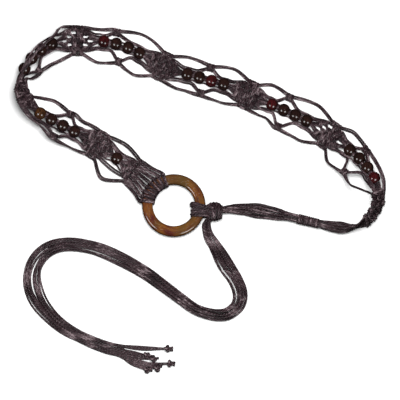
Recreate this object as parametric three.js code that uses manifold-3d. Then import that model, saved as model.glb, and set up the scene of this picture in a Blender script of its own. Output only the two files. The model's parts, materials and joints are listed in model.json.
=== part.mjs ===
// Waist belt of knotted waxed cord with round wooden beads, tied to a ring and laid out on a table.
// Millimetres, +Z up. The belt's face lies level, its outer edge is on the left of its heading.
import * as THREE from "three";
import { mergeVertices } from "three/addons/utils/BufferGeometryUtils.js";
import Module from "manifold-3d";

const wasm = await Module();
wasm.setup();

// Sizes of the cord and of what is made from it
const clearance = 0.3;
const cordDiameter = 1.8;
const knotWidth = 7.4;
const knotPitch = 3.9;
const knotThickness = 5.2;
const webThickness = 2.4;
const crownShare = 0.52;
const gapShare = 0.3;
const threadDiameter = 2.6;
const threadShow = 3.6;
const shortThreadShow = 1.3;
const pairWidth = 3.4;
const pairThickness = 1.9;
const sideKnotLength = 6;
const sideKnotWidth = 7.4;
const sideKnotThickness = 4.2;
const sideBow = 15.2;
const sideKnotShare = 0.81;
const edgeSlot = 1.75;
const innerSlot = 1.25;
const edgeRows = 2.5;
const innerRows = 1.5;
const levelShare = 0.38;

// Sizes of the beads and the ring
const beadDiameter = 11.8;
const beadBore = 4.6;
const beadGap = 0.3;
const ringOuterDiameter = 60;
const ringHoleDiameter = 40;
const ringThickness = 7.4;
const ringFlat = 5;

// The row of lark's heads on the ring and the cords that fan from it to the first knots
const hitchFrom = 102;
const hitchTo = 174;
const hitchCords = 8;
const hitchRib = 0.5;
const fanLength = 18;
const beltLeaves = 138;
const firstHeading = 142;

// The knot that ties the gathered end to the ring
const knotAngle = -8;
const knotLoopWidth = 12;
const knotLoopWall = 3;
const barrelLength = 15;
const barrelWidth = 19;
const barrelHeight = 13;
const barrelOut = 0.48;
const barrelRounding = 0.75;
const strapHeading = 190;
const strapStartHandle = 33;
const strapEndHandle = 43;
const strapWidth = 13.4;
const strapHeight = 7;
const wrapWall = 1.3;
const wrapFrom = 0.337;
const wrapTo = 0.5;

// Sizes of the loose tail
const tailWidth = 13;
const tailThickness = 6.2;
const tailExitLength = 9;
const tailExitWidth = 5;
const endKnotSize = 6;
const endCordRise = 1.4;

// How finely the meshes are cut
const beadSides = 10;
const beadArc = 4;
const ringSides = 36;
const tailSteps = 40;
const strapSteps = 16;
const sideStep = 12;
const routeStep = 0.5;

// Knots in each row of a block, from its first row to its last
const firstBlock = [4, 3, 2];
const fullBlock = [2, 3, 4, 3, 4, 3, 2];
const lastBlock = [2, 3, 4, 3, 4, 3, 4, 3, 4];

// One row for each knot block and the beads after it. Headings and tilts are in degrees, at the block's
// middle, the first bead and the last bead; a positive tilt lifts the outer edge. Side knots are shares
// of the bead stretch and bows are shares of the side bow, outer edge first. Folds are the degrees that
// the outer and the inner cords turn up from the belt, at the first and at the last bead. Gaps are open
// places, as row and half knot widths sideways.
const beltRows = [
  {
    knots: firstBlock, beads: 1, heading: [142, 140, 140], tilt: [0, 0, 0],
    sideKnots: [], bows: [1.28, 1.28], folds: [[0, 0], [0, 0]], gaps: "",
  },
  {
    knots: fullBlock, beads: 4, heading: [148, 154, 152], tilt: [0, 5, 30],
    sideKnots: [0.44, 0.36], bows: [1, 1.22], folds: [[0, 0], [0, 0]], gaps: "",
  },
  {
    knots: fullBlock, beads: 4, heading: [112, 62, 26], tilt: [68, 84, 30],
    sideKnots: [0.6, 0.3], bows: [0.96, 1.14], folds: [[28, 28], [-52, -16]], gaps: "",
  },
  {
    knots: fullBlock, beads: 4, heading: [0, -6, -31], tilt: [4, 0, 0],
    sideKnots: [0.35, 0.53], bows: [0.94, 1.26], folds: [[0, 0], [0, 0]], gaps: "1:0 2:1 2:-1 3:2 6:1 6:-1 7:0",
  },
  {
    knots: fullBlock, beads: 4, heading: [-26, -14, -18], tilt: [0, 0, 0],
    sideKnots: [0.53, 0.48], bows: [1.03, 1.14], folds: [[0, 0], [0, 0]], gaps: "",
  },
  {
    knots: fullBlock, beads: 4, heading: [-26, -23, -28], tilt: [0, 0, 0],
    sideKnots: [0.39, 0.42], bows: [1.03, 1.26], folds: [[0, 0], [0, 0]], gaps: "",
  },
  {
    knots: fullBlock, beads: 4, heading: [-36, -41, -62], tilt: [0, -10, -48],
    sideKnots: [0.33, 0.39], bows: [0.95, 1.55], folds: [[0, 0], [8, 30]], gaps: "1:0 2:1 3:2 7:0",
  },
  {
    knots: lastBlock, beads: 0, heading: [-112, 0, 0], tilt: [-73, 0, 0],
    sideKnots: [], bows: [], folds: [], gaps: "",
  },
];
const endHeading = -147;
const endTilt = -80;

// Sections of the gathered strap: share of its length, then shares of its width and of its height
const strapSections = [
  { at: 0, width: 0.3, height: 3.7, rise: 0.15 },
  { at: 0.08, width: 0.5, height: 2.6, rise: 0.15 },
  { at: 0.15, width: 0.72, height: 1.6, rise: 0.05 },
  { at: 0.22, width: 0.74, height: 1.15, rise: 0.05 },
  { at: 0.32, width: 0.55, height: 1, rise: 0.28 },
  { at: 0.53, width: 0.6, height: 1, rise: 0.28 },
  { at: 0.64, width: 0.86, height: 0.92, rise: 0 },
  { at: 0.76, width: 1, height: 0.86, rise: 0 },
  { at: 0.88, width: 0.72, height: 0.86, rise: 0.1 },
  { at: 1, width: 0.49, height: 0.93, rise: 0.43 },
];

// Route of the tail's middle on the table, from under the knot to where its cords part
const tailRoute = [
  [31.4, -16.4], [32.2, -27], [39, -39], [49.5, -58], [59.5, -72.5], [63.7, -86], [60, -97.5], [46.5, -105],
  [24, -101], [6, -90], [-8, -79.5], [-29.5, -63], [-56, -49.5], [-78, -41], [-100, -37.5], [-117, -41],
  [-129, -52], [-135, -68], [-131.5, -87], [-121.5, -102], [-105.5, -117], [-83.5, -129], [-62, -136.5],
  [-46, -139.5],
];

// Sections of the tail: share of its length, then shares of its width and of its thickness
const tailSections = [
  { at: 0, width: 0.6, height: 1 },
  { at: 0.06, width: 0.88, height: 1 },
  { at: 0.13, width: 1, height: 0.97 },
  { at: 0.45, width: 1, height: 0.9 },
  { at: 0.62, width: 1.08, height: 0.9 },
  { at: 0.73, width: 1.42, height: 0.75 },
  { at: 0.84, width: 0.96, height: 0.9 },
  { at: 1, width: 1.04, height: 0.42 },
];

// Courses of the cords that part from the tail's end, each up to the knot at its end
const endCords = [
  [[-47, -135.5], [-5, -137.5]],
  [[-47, -139.5], [-25.4, -142.6]],
  [[-47, -142], [-19.2, -147.8]],
  [[-47, -144], [-28, -152], [-3.4, -153.1]],
  [[-28, -152], [-15, -158]],
  [[-47, -145], [-40, -151], [-26, -157.2]],
];

const radians = THREE.MathUtils.degToRad;
const ringOuter = ringOuterDiameter / 2;
const ringMiddle = (ringOuterDiameter + ringHoleDiameter) / 4;
const ringWidth = (ringOuterDiameter - ringHoleDiameter) / 2;
const ringHeight = cordDiameter + clearance + ringThickness / 2;
const upwards = new THREE.Vector3(0, 0, 1);

// A value from a table whose rows have a place in the column "at", eased between the rows
function lookUp(rows, at, column, eased = false) {
  const next = rows.findIndex((row) => row.at >= at);
  if (next === 0) return rows[0][column];
  if (next < 0) return rows.at(-1)[column];
  const low = rows[next - 1];
  const high = rows[next];
  const share = (at - low.at) / (high.at - low.at);
  const blend = eased ? THREE.MathUtils.smoothstep(share, 0, 1) : share;
  return THREE.MathUtils.lerp(low[column], high[column], blend);
}

// Places of the blocks and beads along the belt, with the stations that steer it and its levels
function layOutBelt() {
  const belt = { blocks: [], stretches: [], stations: [], levels: [] };
  const blockReach = 2 * knotWidth + clearance;
  const low = { half: knotThickness / 2, reach: blockReach };
  const high = { half: beadDiameter / 2, reach: sideBow + pairWidth / 2 };
  const station = (at, row, place) => {
    belt.stations.push({ at, heading: row.heading[place], tilt: row.tilt[place] });
  };
  belt.stations.push({ at: 0, heading: firstHeading, tilt: 0 });
  let along = fanLength;
  for (const row of beltRows) {
    const end = along + (row.knots.length + 1) * knotPitch;
    belt.blocks.push({ start: along, end, knots: row.knots, gaps: row.gaps.split(" ") });
    belt.levels.push({ at: along + knotPitch, ...low }, { at: end - knotPitch, ...low });
    station((along + end) / 2, row, 0);
    along = end;
    if (!row.beads) continue;
    const show = row.beads > 1 ? threadShow : shortThreadShow;
    const beads = [];
    for (let bead = 0; bead < row.beads; bead += 1) {
      beads.push(end + show + beadDiameter / 2 + bead * (beadDiameter + beadGap));
    }
    along = beads.at(-1) + beadDiameter / 2 + show;
    const { sideKnots, bows, folds } = row;
    belt.stretches.push({ start: end, end: along, beads, sideKnots, bows, folds });
    station(beads[0], row, 1);
    if (row.beads > 1) station(beads.at(-1), row, 2);
    const level = levelShare * beadDiameter;
    belt.levels.push({ at: beads[0] - level, ...high }, { at: beads.at(-1) + level, ...high });
  }
  belt.stations.push({ at: along, heading: endHeading, tilt: endTilt });
  belt.end = along;
  return belt;
}

const belt = layOutBelt();

// Plan of the belt's middle, one point for each step of the route
function traceRoute() {
  const leave = radians(beltLeaves);
  const point = new THREE.Vector2(Math.cos(leave), Math.sin(leave)).multiplyScalar(ringOuter);
  const points = [point.clone()];
  for (let at = routeStep / 2; at < belt.end + knotPitch; at += routeStep) {
    const heading = radians(lookUp(belt.stations, at, "heading"));
    point.x += routeStep * Math.cos(heading);
    point.y += routeStep * Math.sin(heading);
    points.push(point.clone());
  }
  return points;
}

const route = traceRoute();

// Middle of the belt at a distance along it, high enough for its lower edge to touch the table
function beltMiddle(along) {
  const steps = THREE.MathUtils.clamp(along / routeStep, 0, route.length - 2);
  const index = Math.floor(steps);
  const plan = route[index].clone().lerp(route[index + 1], steps - index);
  const tilt = radians(Math.abs(lookUp(belt.stations, along, "tilt")));
  const flat = Math.abs(Math.cos(tilt)) * lookUp(belt.levels, along, "half", true);
  const upright = Math.sin(tilt) * lookUp(belt.levels, along, "reach", true);
  return new THREE.Vector3(plan.x, plan.y, flat + upright);
}

// Origin and directions of the belt at a distance along it
function beltFrame(along) {
  const tangent = beltMiddle(along + routeStep).sub(beltMiddle(along - routeStep)).normalize();
  const level = new THREE.Vector3().crossVectors(upwards, tangent).normalize();
  const upright = new THREE.Vector3().crossVectors(tangent, level);
  const tilt = radians(lookUp(belt.stations, along, "tilt"));
  const side = level.clone().multiplyScalar(Math.cos(tilt)).addScaledVector(upright, Math.sin(tilt));
  const up = upright.multiplyScalar(Math.cos(tilt)).addScaledVector(level, -Math.sin(tilt));
  return { origin: beltMiddle(along), tangent, side, up };
}

// How far the side cords drop below the beads' middle to lie near the table
function sideDrop(along) {
  const rise = lookUp(belt.levels, along, "half", true) - knotThickness / 2;
  return rise * Math.cos(radians(lookUp(belt.stations, along, "tilt")));
}

// Origin and directions at a share of a level curve
function curveFrame(curve, share, height) {
  const at = THREE.MathUtils.clamp(share, 0, 1);
  const tangent = curve.getTangentAt(at).setZ(0).normalize();
  const side = new THREE.Vector3().crossVectors(upwards, tangent);
  return { origin: curve.getPointAt(at).setZ(height), tangent, side, up: upwards };
}

// Moves a straight shape, long along X, on to a curved route
function bend(geometry, frameAt) {
  const place = geometry.attributes.position;
  const point = new THREE.Vector3();
  for (let index = 0; index < place.count; index += 1) {
    point.fromBufferAttribute(place, index);
    const frame = frameAt(point.x);
    const moved = frame.origin.clone().addScaledVector(frame.side, point.y).addScaledVector(frame.up, point.z);
    place.setXYZ(index, moved.x, moved.y, moved.z);
  }
  return geometry;
}

// A closed geometry as a solid for joining and cutting, and back
function solid(geometry) {
  const bare = geometry.clone();
  bare.deleteAttribute("normal");
  bare.deleteAttribute("uv");
  const merged = mergeVertices(bare, 1e-4);
  return new wasm.Manifold(new wasm.Mesh({
    numProp: 3,
    vertProperties: new Float32Array(merged.attributes.position.array),
    triVerts: new Uint32Array(merged.index.array),
  }));
}

function joined(...geometries) {
  const mesh = geometries.map(solid).reduce((whole, piece) => whole.add(piece)).getMesh();
  const geometry = new THREE.BufferGeometry();
  geometry.setAttribute("position", new THREE.BufferAttribute(new Float32Array(mesh.vertProperties), 3));
  geometry.setIndex(new THREE.BufferAttribute(new Uint32Array(mesh.triVerts), 1));
  return geometry;
}

// A closed geometry from corner points given three to a triangle
function fromTriangles(corners) {
  const soup = new THREE.BufferGeometry().setFromPoints(corners);
  return mergeVertices(soup, 1e-3);
}

// A straight bar from one point to another
function link(from, to, width, thickness) {
  const length = from.distanceTo(to);
  const tangent = to.clone().sub(from).normalize();
  const side = new THREE.Vector3().crossVectors(upwards, tangent).normalize();
  const up = new THREE.Vector3().crossVectors(tangent, side);
  const bar = new THREE.BoxGeometry(length, width, thickness);
  bar.applyMatrix4(new THREE.Matrix4().makeBasis(tangent, side, up));
  return bar.translate(...from.clone().add(to).multiplyScalar(0.5));
}

// A rounded lump, such as a small knot
function lump(length, width, height) {
  return new THREE.SphereGeometry(0.5, 8, 4).rotateX(Math.PI / 2).scale(length, width, height);
}

// Corners of each knot's tile in a block, as rows and half knot widths, anticlockwise from above.
// The triangles at the edges are the cords that run straight past the shorter rows.
function tilesOf(knots) {
  const tiles = [];
  knots.forEach((count, index) => {
    const row = index + 1;
    for (let half = 1 - count; half < count; half += 2) {
      tiles.push([[row - 1, half], [row, half - 1], [row + 1, half], [row, half + 1]]);
    }
    if (knots[index - 1] > count && knots[index + 1] > count) {
      tiles.push([[row, count], [row + 1, count + 1], [row - 1, count + 1]]);
      tiles.push([[row, -count], [row - 1, -count - 1], [row + 1, -count - 1]]);
    }
  });
  return tiles;
}

// A block of alternating square knots, flat, with a raised crown on each knot and open gaps between them
function knotBlock({ start, knots, gaps }) {
  const corners = [];
  const rim = new Map();
  const at = ([row, half], height) => (
    new THREE.Vector3(start + row * knotPitch, half * knotWidth / 2, height)
  );
  const between = (a, b, share) => [a[0] + (b[0] - a[0]) * share, a[1] + (b[1] - a[1]) * share];
  const keyOf = (place) => place.map((value) => value.toFixed(3)).join();
  const addFace = (...places) => {
    for (let index = 2; index < places.length; index += 1) {
      const face = [places[0], places[index - 1], places[index]];
      corners.push(...face.map(([place, height]) => at(place, height)));
    }
  };
  const web = webThickness / 2;
  const crown = knotThickness / 2;
  for (const tile of tilesOf(knots)) {
    const count = tile.length;
    const middle = [0, 1].map((axis) => tile.reduce((sum, place) => sum + place[axis], 0) / count);
    const tops = tile.map((place) => [between(middle, place, crownShare), crown]);
    const edges = tile.map((place, index) => {
      const before = tile[(index + count - 1) % count];
      const after = tile[(index + 1) % count];
      if (!gaps.includes(place.join(":"))) return [place, place];
      return [between(place, before, gapShare), between(place, after, gapShare)];
    });
    addFace(...tops);
    edges.forEach(([first, last], index) => {
      const next = edges[(index + 1) % count][0];
      const nextTop = tops[(index + 1) % count];
      addFace([last, web], [next, web], nextTop, tops[index]);
      addFace([next, -web], [last, -web], [middle, -crown]);
      rim.set(keyOf(last) + "/" + keyOf(next), [last, next]);
      if (first === last) return;
      addFace([first, web], [last, web], tops[index]);
      addFace([last, -web], [first, -web], [middle, -crown]);
      rim.set(keyOf(first) + "/" + keyOf(last), [first, last]);
    });
  }
  for (const [key, [from, to]] of rim) {
    if (rim.has(key.split("/").reverse().join("/"))) continue;
    corners.push(at(from, web), at(from, -web), at(to, -web));
    corners.push(at(from, web), at(to, -web), at(to, web));
  }
  return fromTriangles(corners);
}

// The thread that runs from a block through the beads to the notch of the next block
function thread(stretch) {
  const from = stretch.start - knotPitch;
  const to = stretch.end + knotPitch / 2 - clearance;
  const segments = stretch.beads.length + 4;
  const bar = new THREE.CylinderGeometry(threadDiameter / 2, threadDiameter / 2, to - from, 5, segments);
  return bar.rotateZ(-Math.PI / 2).translate((from + to) / 2, 0, 0);
}

// Place of a side cord, out from the beads and turned up with the fold of its stretch
function sidePlace(stretch, along, side, out) {
  const [first, last] = stretch.folds[side > 0 ? 0 : 1];
  const rows = [
    { at: stretch.start, fold: 0 }, { at: stretch.beads[0], fold: first },
    { at: stretch.beads.at(-1), fold: last }, { at: stretch.end, fold: 0 },
  ];
  const fold = radians(lookUp(rows, along, "fold", true));
  const place = new THREE.Vector3(along, side * out, -sideDrop(along));
  const axis = new THREE.Vector3(1, 0, 0);
  return { origin: place.applyAxisAngle(axis, fold), fold };
}

// A pair of side cords beside the beads, following a table of places sideways
function sidePair(stretch, places, side) {
  const from = places[0].at;
  const length = places.at(-1).at - from;
  const segments = Math.round(length / sideStep);
  const bar = new THREE.BoxGeometry(length, pairWidth, pairThickness, segments, 1, 1);
  bar.translate(from + length / 2, 0, 0);
  return bend(bar, (along) => {
    const { origin, fold } = sidePlace(stretch, along, side, lookUp(places, along, "out", true));
    return {
      origin,
      side: new THREE.Vector3(0, Math.cos(fold), Math.sin(fold)),
      up: new THREE.Vector3(0, -Math.sin(fold), Math.cos(fold)),
    };
  });
}

// Side cords of a stretch: the outer pair bows along the belt's edge, the inner pair hugs the beads
function pairPlaces(stretch, side) {
  const { start, end, beads } = stretch;
  const index = side > 0 ? 0 : 1;
  const slant = 2 * knotPitch / knotWidth * pairWidth / 2 + 1.5 * clearance;
  const outerStart = start - edgeRows * knotPitch + slant;
  const outerEnd = end + edgeRows * knotPitch - slant;
  const innerStart = start - innerRows * knotPitch + slant;
  const innerEnd = end + innerRows * knotPitch - slant;
  const knotAt = start + (end - start) * (stretch.sideKnots[index] ?? 0.5);
  const hug = beadDiameter / 2 + clearance + pairWidth / 2;
  const bow = sideBow * stretch.bows[index];
  const reach = bow * sideKnotShare;
  const outerOut = edgeSlot * knotWidth;
  const innerOut = innerSlot * knotWidth;
  return {
    knotAt,
    reach,
    outer: [
      { at: outerStart, out: outerOut }, { at: (outerStart + knotAt) / 2, out: bow },
      { at: knotAt, out: reach + pairWidth / 2 }, { at: (outerEnd + knotAt) / 2, out: bow },
      { at: outerEnd, out: outerOut },
    ],
    inner: [
      { at: innerStart, out: innerOut }, { at: beads[0], out: hug },
      { at: knotAt, out: reach - pairWidth / 2 }, { at: beads.at(-1), out: hug },
      { at: innerEnd, out: innerOut },
    ],
    loose: [
      { at: outerStart, out: outerOut }, { at: (2 * outerStart + outerEnd) / 3, out: bow },
      { at: (outerStart + 2 * outerEnd) / 3, out: bow }, { at: outerEnd, out: outerOut },
    ],
    short: [
      { at: start - knotPitch, out: innerOut - pairWidth / 2 }, { at: beads[0], out: hug },
      { at: innerEnd, out: innerOut },
    ],
  };
}

function sideCords(stretch, side) {
  const { knotAt, reach, outer, inner, loose } = pairPlaces(stretch, side);
  if (!stretch.sideKnots.length) return sidePair(stretch, loose, side);
  const { origin, fold } = sidePlace(stretch, knotAt, side, reach);
  const knot = lump(sideKnotLength, sideKnotWidth, sideKnotThickness).rotateX(fold);
  knot.translate(origin.x, origin.y, origin.z);
  return joined(sidePair(stretch, outer, side), knot, sidePair(stretch, inner, side));
}

function bead() {
  const radius = beadDiameter / 2;
  const opening = Math.asin(beadBore / beadDiameter);
  const profile = [];
  for (let step = 0; step <= beadArc; step += 1) {
    const angle = opening + (Math.PI - 2 * opening) * step / beadArc;
    profile.push(new THREE.Vector2(radius * Math.sin(angle), -radius * Math.cos(angle)));
  }
  profile.push(profile[0].clone());
  return new THREE.LatheGeometry(profile, beadSides);
}

// The ring's section has flats above and below and rounded edges
function ringBody() {
  const halfWidth = ringWidth / 2;
  const halfHeight = ringThickness / 2;
  const flat = ringFlat / 2;
  const shoulder = halfHeight * 0.45;
  const outline = [
    [-flat, -halfHeight], [flat, -halfHeight], [halfWidth, -shoulder], [halfWidth, shoulder],
    [flat, halfHeight], [-flat, halfHeight], [-halfWidth, shoulder], [-halfWidth, -shoulder],
    [-flat, -halfHeight],
  ];
  const profile = outline.map(([across, height]) => new THREE.Vector2(ringMiddle + across, height));
  return new THREE.LatheGeometry(profile, ringSides).rotateX(Math.PI / 2).translate(0, 0, ringHeight);
}

// A hollow sleeve round the ring's section, swept between two angles of the ring
function ringSleeve(from, to, steps, walls, rib = 0) {
  const box = (out, above, below) => {
    const corner = ringFlat / 2;
    const half = ringWidth / 2 + out;
    const top = ringThickness / 2 + above;
    const bottom = -ringThickness / 2 - below;
    const edge = corner + out;
    return [
      [half, bottom * 0.5], [half, top * 0.5], [edge, top], [-edge, top],
      [-half, top * 0.5], [-half, bottom * 0.5], [-edge, bottom], [edge, bottom],
    ].map(([across, height]) => new THREE.Vector2(-height, across));
  };
  const section = new THREE.Shape(box(walls.out + clearance, walls.above + clearance, walls.below + clearance));
  section.holes.push(new THREE.Path(box(clearance, clearance, clearance)));
  const length = radians(to - from) * ringMiddle;
  const sleeve = new THREE.ExtrudeGeometry(section, { depth: length, steps, bevelEnabled: false });
  sleeve.rotateY(Math.PI / 2);
  const ribAt = (along) => (Math.round(along / length * steps) % 2 ? 1 : 1 + rib / ringWidth);
  return bend(sleeve, (along) => {
    const angle = radians(from) + along / ringMiddle;
    const outwards = new THREE.Vector3(Math.cos(angle), Math.sin(angle), 0);
    const origin = outwards.clone().multiplyScalar(ringMiddle).setZ(ringHeight);
    return { origin, side: outwards.multiplyScalar(-ribAt(along)), up: upwards };
  });
}

// Lark's heads round the ring, and the cords that fan from them to the first row of knots
function ringHitch() {
  const walls = { out: cordDiameter, above: cordDiameter, below: cordDiameter };
  const sleeve = ringSleeve(hitchFrom, hitchTo, 2 * hitchCords, walls, hitchRib);
  const cords = [];
  for (let cord = 0; cord < hitchCords; cord += 1) {
    const share = (cord + 0.5) / hitchCords;
    const angle = radians(hitchFrom + (hitchTo - hitchFrom) * share);
    const out = ringOuter + cordDiameter / 2 + clearance;
    const from = new THREE.Vector3(out * Math.cos(angle), out * Math.sin(angle), ringHeight);
    const { origin, side } = beltFrame(fanLength - clearance);
    const across = (share - 0.5) * hitchCords * knotWidth / 2;
    cords.push(link(from, origin.clone().addScaledVector(side, across), pairWidth * 0.92, cordDiameter));
  }
  return joined(sleeve, ...cords);
}

const barrelMiddle = ringOuter + knotLoopWall + barrelLength * barrelOut;

function barrelPlace() {
  const angle = radians(knotAngle);
  return new THREE.Vector3(Math.cos(angle), Math.sin(angle), 0).multiplyScalar(barrelMiddle);
}

// The slip knot: a wound barrel beside the ring, its loop round the ring and the stub of the tail
function ringKnot() {
  const walls = { out: knotLoopWall, above: knotLoopWall, below: cordDiameter };
  const spread = THREE.MathUtils.radToDeg(knotLoopWidth / ringMiddle / 2);
  const loop = ringSleeve(knotAngle - spread, knotAngle + spread, 3, walls);
  const place = barrelPlace();
  const barrel = new THREE.CylinderGeometry(0.5, 0.5, 1, 12, 4);
  bend(barrel.rotateZ(-Math.PI / 2), (along) => {
    const round = Math.sqrt(1 - barrelRounding * (2 * along) ** 2);
    return {
      origin: new THREE.Vector3(along * barrelLength, 0, 0),
      side: new THREE.Vector3(0, barrelWidth * round, 0),
      up: new THREE.Vector3(0, 0, barrelHeight * round),
    };
  });
  barrel.rotateZ(radians(strapHeading)).translate(place.x, place.y, barrelHeight / 2);
  const [x, y] = tailRoute[0];
  const mouth = new THREE.Vector3(x, y + 6 * clearance, tailThickness / 2);
  const inside = new THREE.Vector3(x + tailExitLength / 3, y + tailExitLength, ringHeight);
  return joined(loop, barrel, link(inside, mouth, tailExitWidth, tailThickness - cordDiameter));
}

// The gathered cords between the last block and the knot on the ring
function strapCurve() {
  const start = beltFrame(belt.end + clearance);
  const direction = new THREE.Vector3(Math.cos(radians(strapHeading)), Math.sin(radians(strapHeading)), 0);
  const end = barrelPlace().addScaledVector(direction, -barrelLength / 2 - clearance);
  return new THREE.CubicBezierCurve3(
    start.origin.clone().setZ(0),
    start.origin.clone().addScaledVector(start.tangent, strapStartHandle).setZ(0),
    end.clone().addScaledVector(direction, -strapEndHandle),
    end,
  );
}

const strap = strapCurve();

function strapFrame(share, spread = 0) {
  const width = strapWidth * lookUp(strapSections, share, "width", true) + spread;
  const height = strapHeight * lookUp(strapSections, share, "height", true) + spread;
  const middle = strapHeight * lookUp(strapSections, share, "rise", true) + (height - spread) / 2;
  const frame = curveFrame(strap, share, middle);
  frame.side = frame.side.clone().multiplyScalar(width);
  frame.up = frame.up.clone().multiplyScalar(height);
  return frame;
}

function gatheredStrap() {
  const bar = new THREE.CylinderGeometry(0.5, 0.5, 1, 8, strapSteps);
  bar.rotateZ(-Math.PI / 2).translate(0.5, 0, 0);
  return bend(bar, (share) => strapFrame(share));
}

// The whipping cord wound round the strap
function strapWrap() {
  const tube = (spread, from, to) => {
    const bar = new THREE.CylinderGeometry(0.5, 0.5, to - from, 8, 4);
    bar.rotateZ(-Math.PI / 2).translate((from + to) / 2, 0, 0);
    return solid(bend(bar, (share) => strapFrame(share, spread)));
  };
  const overrun = 0.02;
  const hole = tube(3 * clearance, wrapFrom - overrun, wrapTo + overrun);
  const mesh = tube(3 * clearance + 2 * wrapWall, wrapFrom, wrapTo).subtract(hole).getMesh();
  const geometry = new THREE.BufferGeometry();
  geometry.setAttribute("position", new THREE.BufferAttribute(new Float32Array(mesh.vertProperties), 3));
  geometry.setIndex(new THREE.BufferAttribute(new Uint32Array(mesh.triVerts), 1));
  return geometry;
}

// The loose tail: a flattened bundle along its route, parting into the cords for the end knots
function tailBundle() {
  const points = tailRoute.map(([x, y]) => new THREE.Vector3(x, y, 0));
  const curve = new THREE.CatmullRomCurve3(points, false, "centripetal");
  const bar = new THREE.CylinderGeometry(0.5, 0.5, 1, 8, tailSteps);
  bar.rotateY(Math.PI / 8).rotateZ(-Math.PI / 2).translate(0.5, 0, 0);
  bend(bar, (share) => {
    const height = tailThickness * lookUp(tailSections, share, "height", true);
    const frame = curveFrame(curve, share, height / 2 + clearance);
    const width = tailWidth * lookUp(tailSections, share, "width", true);
    frame.side = frame.side.clone().multiplyScalar(width);
    frame.up = frame.up.clone().multiplyScalar(height);
    return frame;
  });
  const parts = endCords.flatMap((course) => {
    const stops = course.map(([x, y]) => new THREE.Vector3(x, y, endCordRise));
    const short = stops.at(-1).clone().sub(stops.at(-2)).setLength(endKnotSize / 2 + clearance);
    stops.at(-1).sub(short);
    return stops.slice(1).map((stop, index) => link(stops[index], stop, cordDiameter, cordDiameter));
  });
  return joined(bar, ...parts);
}

const colours = { cord: 0x35262a, wood: 0x24120e, red: 0x43160f, amber: 0x4a2712, ring: 0x6a3a1a };
const redBeads = ["bead_3_1", "bead_4_3", "bead_5_1", "bead_6_4"];
const amberBead = "bead_1_4";

const group = new THREE.Group();
const model = new THREE.Group();
group.add(model);

function addMesh(name, geometry, colour, roughness) {
  const material = new THREE.MeshStandardMaterial({ color: colours[colour], roughness, metalness: 0 });
  const mesh = new THREE.Mesh(geometry, material);
  mesh.name = name;
  model.add(mesh);
  return mesh;
}

addMesh("ring", ringBody(), "ring", 0.2);
addMesh("ring_hitch", ringHitch(), "cord", 0.6);

belt.blocks.forEach((block, index) => {
  const stretch = belt.stretches[index];
  const pieces = [knotBlock(block)];
  if (stretch) pieces.push(thread(stretch));
  if (stretch && !stretch.sideKnots.length) {
    pieces.push(...[1, -1].map((side) => sidePair(stretch, pairPlaces(stretch, side).short, side)));
  }
  addMesh("knot_block_" + index, bend(joined(...pieces), beltFrame), "cord", 0.6);
});

belt.stretches.forEach((stretch, index) => {
  addMesh("outer_cords_" + index, bend(sideCords(stretch, 1), beltFrame), "cord", 0.6);
  addMesh("inner_cords_" + index, bend(sideCords(stretch, -1), beltFrame), "cord", 0.6);
  stretch.beads.forEach((along, place) => {
    const name = "bead_" + index + "_" + (place + 1);
    const finish = name === amberBead ? "amber" : redBeads.includes(name) ? "red" : "wood";
    const mesh = addMesh(name, bead(), finish, 0.15);
    const { origin, tangent, side, up } = beltFrame(along);
    mesh.setRotationFromMatrix(new THREE.Matrix4().makeBasis(side, tangent, up.negate()));
    mesh.position.copy(origin);
  });
});

addMesh("gathered_strap", gatheredStrap(), "cord", 0.6);
addMesh("strap_wrap", strapWrap(), "cord", 0.6);
addMesh("ring_knot", ringKnot(), "cord", 0.6);

// The belt without its loose tail stands over the origin
model.updateMatrixWorld(true);
const box = new THREE.Box3().setFromObject(model, true);
const middle = box.getCenter(new THREE.Vector3());
model.position.set(-middle.x, -middle.y, -box.min.z);

addMesh("tail_bundle", tailBundle(), "cord", 0.6);
endCords.forEach((course, index) => {
  const [x, y] = course.at(-1);
  const knot = lump(endKnotSize, endKnotSize, endKnotSize).translate(x, y, endKnotSize / 2 + clearance);
  addMesh("end_knot_" + (index + 1), knot, "cord", 0.6);
});

export default group;
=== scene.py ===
"""A macrame waist belt with wooden beads, tied to a wooden ring and laid out on a table."""

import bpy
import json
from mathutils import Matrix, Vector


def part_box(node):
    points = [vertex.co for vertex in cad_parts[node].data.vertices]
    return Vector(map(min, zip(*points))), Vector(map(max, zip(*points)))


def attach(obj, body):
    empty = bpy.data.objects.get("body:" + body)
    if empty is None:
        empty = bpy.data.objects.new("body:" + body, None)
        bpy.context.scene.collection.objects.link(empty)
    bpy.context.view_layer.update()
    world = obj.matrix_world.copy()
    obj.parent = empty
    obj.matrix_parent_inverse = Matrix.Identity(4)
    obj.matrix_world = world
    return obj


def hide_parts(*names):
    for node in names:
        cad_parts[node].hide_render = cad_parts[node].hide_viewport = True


bl_info = {
    "name": "Knotted Waist Belt",
    "version": (1, 0, 0),
    "blender": (4, 5, 0),
    "location": "3D View > Sidebar > Belt",
    "description": "Ties a belt of waxed cord with square knots, wooden beads and a wooden ring",
    "category": "Add Mesh",
}

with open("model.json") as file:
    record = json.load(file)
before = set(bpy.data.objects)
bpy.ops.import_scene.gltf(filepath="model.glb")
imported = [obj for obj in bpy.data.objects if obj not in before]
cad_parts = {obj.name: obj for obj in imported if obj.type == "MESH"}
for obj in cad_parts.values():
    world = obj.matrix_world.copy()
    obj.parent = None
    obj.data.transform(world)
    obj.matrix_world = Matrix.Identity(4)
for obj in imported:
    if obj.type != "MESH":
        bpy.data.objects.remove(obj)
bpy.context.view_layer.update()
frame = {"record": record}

import json
import math
import random
from bisect import bisect_right
from collections import defaultdict
from functools import lru_cache

import bmesh
import bpy
from bpy.props import (
    FloatProperty, FloatVectorProperty, IntProperty, PointerProperty,
)
from bpy.types import Operator, Panel, PropertyGroup
from mathutils import Matrix, Vector
from mathutils.geometry import interpolate_bezier

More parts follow.
